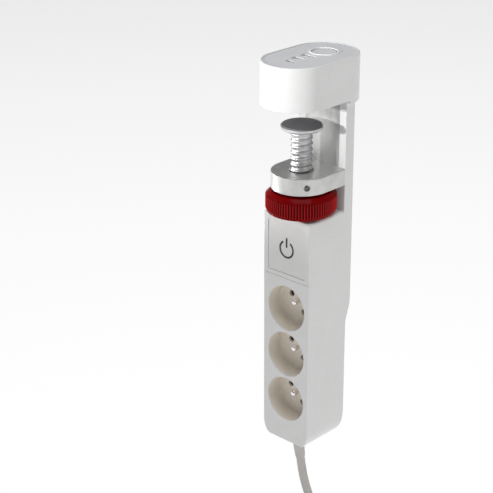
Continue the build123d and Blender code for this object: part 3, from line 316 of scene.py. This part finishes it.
def paint_rib_highlight_and_shade(material):
    """On the wheel's ribbed band: a painted highlight on the crests, and painted shade in the grooves.
    """
    tree = material.node_tree
    place = tree.nodes.new("ShaderNodeTexCoord")
    parts = tree.nodes.new("ShaderNodeSeparateXYZ")
    tree.links.new(place.outputs["Object"], parts.inputs["Vector"])
    x, y, z = parts.outputs

    def result(operation, *values):
        node = tree.nodes.new("ShaderNodeMath")
        node.operation = operation
        for socket, value in zip(node.inputs, values):
            feed(tree, socket, value)
        return node.outputs["Value"]

    low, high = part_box("clamp_wheel")
    rim = (high.x - low.x) / 2
    from_axis = result("SQRT", result("ADD", result("POWER", x, 2.0), result("POWER", y, 2.0)))
    near_rim = result("GREATER_THAN", from_axis, rim - RIB_PAINT_DEPTH)
    under_top = result("LESS_THAN", z, high.z - BAND_FROM_TOP)
    over_lip = result("GREATER_THAN", z, low.z + BAND_FROM_BOTTOM)
    band = result("MULTIPLY", result("MULTIPLY", under_top, over_lip), near_rim)
    wave = result("COSINE", result("MULTIPLY", result("ARCTAN2", y, x), WHEEL_RIBS))
    # crest masks the painted highlight, groove masks the painted shade
    crest = result("MULTIPLY", band, result("SMOOTH_MAX", wave, 0.0))
    groove = result("MULTIPLY", band, result("LESS_THAN", wave, GROOVE_WAVE))
    base = tree.nodes["Principled BSDF"].inputs["Base Color"]
    with_groove_shade = mix_colours(tree, groove, base.links[0].from_socket, GROOVE_PAINTED_SHADE)
    feed(tree, base, mix_colours(tree, crest, with_groove_shade, CREST_PAINTED_HIGHLIGHT))


def make_materials():
    made = {name: surface(name, **finish) for name, finish in FINISHES.items()}
    # paints highlight on the rib crests and shade in the grooves of the wheel
    paint_rib_highlight_and_shade(made["wheel_ribs"])
    return made


def dress_nodes(materials):
    slots = {s["node"]: s["material_slot"] for s in frame["record"]["subparts"]}
    for name, node in frame["nodes"].items():
        node.data.materials.clear()
        node.data.materials.append(materials[slots[name]])


# ================================================================ mesh helpers
def add_piece(name, mesh, body, material, replaced=None):
    piece = add_object(name, mesh)
    mesh.materials.append(material)
    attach(piece, body)
    if replaced:
        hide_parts(replaced)
    return piece


def shaded_mesh(name, work, sharp):
    """The mesh of a bmesh, smooth except at edges that turn by sharp degrees or more."""
    bmesh.ops.recalc_face_normals(work, faces=work.faces)
    for face in work.faces:
        face.smooth = True
    for edge in work.edges:
        edge.smooth = edge.calc_face_angle(0) < radians(sharp)
    mesh = bpy.data.meshes.new(name)
    work.to_mesh(mesh)
    work.free()
    return mesh


def rings_mesh(name, rings, sharp=50, looped=False):
    """A closed skin over rings of points, each ring with the same number of points. Both ends
    are capped, or, if looped, the last ring is joined to the first."""
    work = bmesh.new()
    levels = [[work.verts.new(point) for point in ring] for ring in rings]
    pairs = list(zip(levels, levels[1:]))
    if looped:
        pairs.append((levels[-1], levels[0]))
    for lower, upper in pairs:
        for k in range(len(lower)):
            work.faces.new((lower[k - 1], lower[k], upper[k], upper[k - 1]))
    if not looped:
        work.faces.new(levels[0][::-1])
        work.faces.new(levels[-1])
    return shaded_mesh(name, work, sharp)


def slab_mesh(name, outline, bottom, top, edge):
    """A flat slab over an outline of (x, y) points, with its edges bevelled by edge."""
    work = bmesh.new()
    face = work.faces.new([work.verts.new((p.x, p.y, bottom)) for p in outline])
    moved = bmesh.ops.extrude_face_region(work, geom=[face])["geom"]
    lifted = [v for v in moved if isinstance(v, bmesh.types.BMVert)]
    bmesh.ops.translate(work, verts=lifted, vec=(0, 0, top - bottom))
    bmesh.ops.recalc_face_normals(work, faces=work.faces)
    rims = [e for e in work.edges if e.verts[0].co.z == e.verts[1].co.z]
    bmesh.ops.bevel(work, geom=rims, offset=edge, segments=3, profile=0.5, affect="EDGES")
    return shaded_mesh(name, work, sharp=40)


def lathe_rings(profile, centre, axis=UP, segments=64):
    """Rings about an axis through centre, from (radius, distance along the axis) pairs."""
    side = axis.orthogonal().normalized()
    other = axis.cross(side)
    turns = [2 * pi * k / segments for k in range(segments)]
    spokes = [side * cos(turn) + other * sin(turn) for turn in turns]
    return [[centre + axis * along + spoke * radius for spoke in spokes] for radius, along in profile]


def arc(x, y, radius, start, sweep, steps):
    """Points on an arc about (x, y), with both of its ends."""
    angles = [start + sweep * k / steps for k in range(steps + 1)]
    return [Vector((x + radius * cos(angle), y + radius * sin(angle))) for angle in angles]


def rounded_rectangle(width, depth, radius):
    """Its outline about the origin, counter-clockwise."""
    corner_steps = 8
    points = []
    for quarter, (right, back) in enumerate(((1, 1), (-1, 1), (-1, -1), (1, -1))):
        points += arc(right * (width / 2 - radius), back * (depth / 2 - radius), radius,
                      quarter * pi / 2, pi / 2, corner_steps)
    return points


# ================================================================ clamp screw
def make_spindle(material):
    """Spindle with a coarse round thread and the slot that its key runs in."""
    low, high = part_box("spindle")
    radius, pitch, depth = 9.0 * MM, 5.0 * MM, 1.1 * MM
    groove_power = 0.8       # below 1, so that the grooves are wider than the crests
    end_bevel = 1.0 * MM
    slot_half, slot_floor = 2.2 * MM, 6.8 * MM
    slot_angle = atan2(sqrt(radius ** 2 - slot_half ** 2), slot_half)
    arc_steps, levels_per_turn = 120, 16
    levels = round((high.z - low.z) / (pitch / levels_per_turn))
    rings = []
    for level in range(levels + 1):
        z = low.z + (high.z - low.z) * level / levels
        from_end = min(z - low.z, high.z - z)
        ring = []
        for k in range(arc_steps + 1):
            angle = pi - slot_angle + (pi + 2 * slot_angle) * k / arc_steps
            groove = depth * (0.5 - 0.5 * cos(2 * pi * (z / pitch) - angle)) ** groove_power
            r = min(radius - groove, radius - end_bevel + from_end)
            ring.append(Vector((r * cos(angle), r * sin(angle), z)))
        ring += [Vector((x, slot_floor, z)) for x in (slot_half, -slot_half)]
        rings.append(ring)
    mesh = rings_mesh("spindle_thread", rings)
    add_piece("spindle_thread", mesh, "clamp_screw", material, "spindle")


def make_wheel(material):
    """Hand wheel: smooth bevelled top, a band of narrow round ribs, a lower lip, and
    underneath the hexagonal pocket of its nut. A ring is a function that gives its radius
    and height at an angle."""
    low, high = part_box("clamp_wheel")
    radius = (high.x - low.x) / 2
    band_top, band_bottom = high.z - BAND_FROM_TOP, low.z + BAND_FROM_BOTTOM
    rib_depth, rib_power = 1.15 * MM, 2.2    # above 1, so that the grooves are wider than the ribs
    steps_per_rib = 12
    bore, pocket, pocket_roof = 9.4 * MM, 13.05 * MM, high.z - 2.7 * MM
    lip = radius - 0.8 * MM

    def circle(r, z):
        return lambda angle: (r, z)

    def ribbed(z, share=1.0):
        def place(angle):
            crest = (0.5 + 0.5 * cos(WHEEL_RIBS * angle)) ** rib_power
            return radius - rib_depth * share * (1 - crest), z
        return place

    def ribbed_edge(angle):
        r, z = ribbed(band_top)(angle)
        return r, z + (radius - r)

    def hexagon(z):
        def place(angle):
            turn = angle % (pi / 3) - pi / 6
            return pocket * cos(pi / 6) / cos(turn), z
        return place

    outline = [
        circle(bore, high.z),
        circle(bore + 0.3 * MM, high.z),
        circle(radius - 4.3 * MM, high.z),
        circle(radius - 4.0 * MM, high.z - 0.08 * MM),
        circle(radius - 3.7 * MM, high.z - 0.3 * MM),
        circle(radius - 1.2 * MM, band_top + 1.25 * MM),
        ribbed_edge,
        ribbed(band_top - 0.4 * MM),
        ribbed((band_top + band_bottom) / 2),
        ribbed(band_bottom + 0.5 * MM),
        ribbed(band_bottom + 0.15 * MM, 0.9),
        circle(lip, band_bottom - 0.2 * MM),
        circle(lip, low.z + 0.7 * MM),
        circle(lip - 0.2 * MM, low.z + 0.2 * MM),
        circle(lip - 0.7 * MM, low.z),
        hexagon(low.z),
        hexagon(pocket_roof),
        circle(bore, pocket_roof),
    ]
    segments = WHEEL_RIBS * steps_per_rib
    angles = [2 * pi * k / segments for k in range(segments)]
    rings = []
    for place in outline:
        ring = [(angle, *place(angle)) for angle in angles]
        rings.append([Vector((r * cos(angle), r * sin(angle), z)) for angle, r, z in ring])
    mesh = rings_mesh("wheel_grip", rings, sharp=62, looped=True)
    add_piece("wheel_grip", mesh, "hand_wheel", material, "clamp_wheel")


# ================================================================ cord
CORD_DIAMETER = 7.6 * MM
LEAN = Vector((0, 0.171, -1)).normalized()
BOOT_START, BOOT_LENGTH = 1.1 * MM, 24.0 * MM    # along the lean, from the strip's underside
LEAD_Y = 13.0 * MM

# the hank's turns: round folds of FOLD_RADIUS joined by arcs that bend in at the tie
HANK_TURNS = 4
FOLD_RADIUS = 23.9 * MM
FOLD_CENTRE = 41.3 * MM
WAIST_OFFSET = 4.0 * MM
STRAND_PITCH = 7.8 * MM
WAIST_RADIUS = ((WAIST_OFFSET ** 2 + FOLD_CENTRE ** 2 - FOLD_RADIUS ** 2)
                / (2 * FOLD_RADIUS - 2 * WAIST_OFFSET))
WAIST_ANGLE = atan2(FOLD_CENTRE, WAIST_OFFSET + WAIST_RADIUS)
LOBE_POINTS = 8
LOBE_STEP = (pi + 2 * WAIST_ANGLE) / LOBE_POINTS
LOBE_REACH = FOLD_RADIUS / cos(LOBE_STEP / 2)
WAIST_POINTS = 3
WAIST_STEP = 2 * WAIST_ANGLE / WAIST_POINTS
WAIST_REACH = WAIST_RADIUS / cos(WAIST_STEP / 2)


def cord_exit():
    """Where the cord's line crosses the underside of the strip."""
    return Vector((0, -1.0 * MM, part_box("rear_body")[0].z))


def cord_start():
    """Where the cord leaves its boot."""
    return cord_exit() + LEAN * (BOOT_START + BOOT_LENGTH)


def hank_lobe(side, y, middle):
    """One fold of the hank, below the waist (side -1) or above it (side 1)."""
    points = []
    for k in range(LOBE_POINTS):
        angle = (0 if side < 0 else pi) + WAIST_ANGLE - LOBE_STEP * (k + 0.5)
        points.append((LOBE_REACH * cos(angle), y,
                       middle + side * FOLD_CENTRE + LOBE_REACH * sin(angle)))
    return points


def hank_waist(side, y_from, y_to, middle, chosen=range(WAIST_POINTS)):
    """The arc past the tie, going down on the right (side 1) and up on the left (side -1)."""
    points = []
    for k in chosen:
        angle = -side * (WAIST_STEP * (k + 0.5) - WAIST_ANGLE)
        x = side * (WAIST_OFFSET + WAIST_RADIUS - WAIST_REACH * cos(angle))
        share = (k + 0.5) / WAIST_POINTS
        points.append((x, y_from + (y_to - y_from) * share, middle + WAIST_REACH * sin(angle)))
    return points


def cord_points():
    """The lead from the boot to the hank, the hank's turns, and the tail to the plug."""
    low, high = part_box("cord_hank")
    middle = (low.z + high.z) / 2
    route = [
        cord_start(),
        cord_start() + LEAN * 19.0 * MM,
        (1.2 * MM, 10.1 * MM, -357.5 * MM),
        (WAIST_OFFSET, LEAD_Y, -371.0 * MM),
        (WAIST_OFFSET, LEAD_Y, -384.0 * MM),
        (WAIST_OFFSET, LEAD_Y, -403.0 * MM),
        (WAIST_OFFSET, LEAD_Y, -426.0 * MM),
    ]
    for turn in range(HANK_TURNS):
        y = LEAD_Y - turn * STRAND_PITCH
        # the lead takes the place of the first turn's first waist point
        route += hank_waist(1, y, y, middle, range(1 if turn == 0 else 0, WAIST_POINTS))
        route += hank_lobe(-1, y, middle)
        route += hank_waist(-1, y, y - STRAND_PITCH, middle)
        route += hank_lobe(1, y - STRAND_PITCH, middle)
    tail_y = LEAD_Y - HANK_TURNS * STRAND_PITCH
    route += hank_waist(1, tail_y, tail_y, middle, range(WAIST_POINTS - 1))
    # the tail leaves the tie and hangs straight down to the plug
    plug_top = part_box("plug_body")[1].z
    for z in (middle - 28.0 * MM, middle - 48.0 * MM, low.z, plug_top):
        route.append((WAIST_OFFSET, tail_y, z))
    return route


def make_cord(material):
    curve = bpy.data.curves.new("mains_cord", "CURVE")
    curve.dimensions = "3D"
    curve.bevel_depth = CORD_DIAMETER / 2
    curve.bevel_resolution = 8
    curve.use_fill_caps = True
    curve.materials.append(material)
    spline = curve.splines.new("NURBS")
    route = cord_points()
    spline.points.add(len(route) - 1)
    for point, place in zip(spline.points, route):
        point.co = (*place, 1)
    spline.order_u = 3
    spline.use_endpoint_u = True
    spline.resolution_u = 10
    cord = add_object("mains_cord", curve)
    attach(cord, "frame")
    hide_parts("cord_lead", "cord_hank", "cord_tail")
    return cord


def make_boot(material):
    """Strain relief: a smooth cone with a small rolled lip where the cord comes out."""
    # (radius, distance along the lean), in millimetres
    profile = [(5.0, -2.2), (5.0, 0.6), (5.35, 1.0), (5.4, 1.6), (5.25, 4), (5.0, 9), (4.75, 14),
               (4.55, 19), (4.45, 22), (4.42, 23.2), (4.3, 24.2), (4.05, 24.9), (3.82, 25.1)]
    rings = lathe_rings([(r * MM, along * MM) for r, along in profile], cord_exit(), LEAN)
    mesh = rings_mesh("cord_boot", rings)
    add_piece("cord_boot", mesh, "frame", material, "strain_relief")


def make_plug(material):
    """Mains plug: ribbed boot, waisted grip and a round head with two side slots for the
    earth clips."""
    low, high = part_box("plug_body")
    centre = (low + high) / 2
    top = Vector((centre.x, centre.y, high.z))
    head = 18.6
    # (radius, distance down from the top), in millimetres: boot, grip and head
    outline = [(4.0, 0), (4.6, 0.4)]
    for rib in range(5):
        start = 1.2 + rib * 3.7
        outer = 4.8 + rib * 0.42
        outline += [(outer, start), (outer + 0.1, start + 2.1), (outer - 0.9, start + 2.5),
                    (outer - 0.8, start + 3.3)]
    outline += [(6.7, 20.2), (7.6, 21.6), (9.4, 23.0), (11.2, 25.2), (12.3, 28.0), (12.7, 31.0),
                (12.9, 34.0), (13.6, 37.0), (15.0, 40.2), (17.0, 43.2), (18.1, 45.0),
                (18.55, 46.6), (head, 48.0), (head, 57.0), (18.4, 57.6), (17.8, 58.0)]
    rings = lathe_rings([(r * MM, -down * MM) for r, down in outline], top, segments=96)
    slot_half, slot_top = 3.2 * MM, low.z + 13.0 * MM
    slot_floor = (head - 2.2) * MM
    for ring in rings:
        for point in ring:
            dx, dy = point.x - centre.x, point.y - centre.y
            if point.z < slot_top and abs(dx) < slot_half and abs(dy) > slot_floor:
                point.y = centre.y + copysign(slot_floor, dy)
    mesh = rings_mesh("plug_shell", rings, sharp=40)
    return add_piece("plug_shell", mesh, "frame", material, "plug_body")


def make_tie(material):
    """Loop tape round the waist of the hank."""
    low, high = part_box("hank_tie")
    centre = (low + high) / 2
    width, depth, corner = 15.6 * MM, 39.2 * MM, 3.8 * MM
    half_height, thick, edge = 8.0 * MM, 1.4 * MM, 0.35 * MM
    inner = rounded_rectangle(width, depth, corner)
    outer = rounded_rectangle(width + 2 * thick, depth + 2 * thick, corner + thick)
    between = [(a + b) / 2 for a, b in zip(inner, outer)]
    loops = [(inner, edge - half_height), (inner, half_height - edge), (between, half_height),
             (outer, half_height - edge), (outer, edge - half_height), (between, -half_height)]
    rings = [[Vector((centre.x + p.x, centre.y + p.y, centre.z + z)) for p in loop]
             for loop, z in loops]
    mesh = rings_mesh("tie_band", rings, looped=True)
    add_piece("tie_band", mesh, "frame", material, "hank_tie")


# ================================================================ pads
PAD_BEVEL = 0.25 * MM


def make_pads(material):
    """The clamp's round pad and the foot under the housing, which has a round front."""
    low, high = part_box("clamp_pad")
    disc = arc(0, 0, (high.x - low.x) / 2, 0, 2 * pi, 96)[:-1]
    mesh = slab_mesh("clamp_pad_disc", disc, low.z, high.z, PAD_BEVEL)
    add_piece("clamp_pad_disc", mesh, "clamp_screw", material, "clamp_pad")

    low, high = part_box("rest_pad")
    radius = (high.x - low.x) / 2
    outline = arc(0, low.y + radius, radius, pi, pi, 48)
    outline += [Vector((radius, high.y)), Vector((-radius, high.y))]
    mesh = slab_mesh("rest_pad_foot", outline, low.z, high.z, PAD_BEVEL)
    add_piece("rest_pad_foot", mesh, "frame", material, "rest_pad")


# ================================================================ label
def make_sign(material):
    """A plain power sign on the label plate: an open ring and a bar."""
    low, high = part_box("label_plate")
    middle = (low + high) / 2
    radius, half = 7.0 * MM, 0.8 * MM
    bar_ends = (1.5 * MM, 10.0 * MM)
    front, back = low.y - 0.15 * MM, low.y + 0.1 * MM
    gap, steps = radians(32), 72

    rings = []
    for k in range(steps + 1):
        angle = pi / 2 + gap + (2 * pi - 2 * gap) * k / steps
        corners = ((radius - half, front), (radius + half, front),
                   (radius + half, back), (radius - half, back))
        rings.append([Vector((middle.x + r * cos(angle), y, middle.z + r * sin(angle)))
                      for r, y in corners])
    add_piece("sign_ring", rings_mesh("sign_ring", rings, sharp=30), "frame", material)

    corners = ((-half, front), (half, front), (half, back), (-half, back))
    rings = [[Vector((middle.x + x, y, middle.z + z)) for x, y in corners] for z in bar_ends]
    add_piece("sign_bar", rings_mesh("sign_bar", rings, sharp=30), "frame", material)


# ================================================================ whole
make_camera()
materials = make_materials()
dress_nodes(materials)
cord = make_cord(materials["cord_grey"])
make_boot(materials["cord_grey"])
plug = make_plug(materials["cord_grey"])
make_tie(materials["tie_fabric"])
make_spindle(materials["steel_bright"])
make_wheel(materials["wheel_ribs"])
make_pads(materials["pad_rubber"])
make_sign(materials["sign_black"])
make_studio()
make_floor()
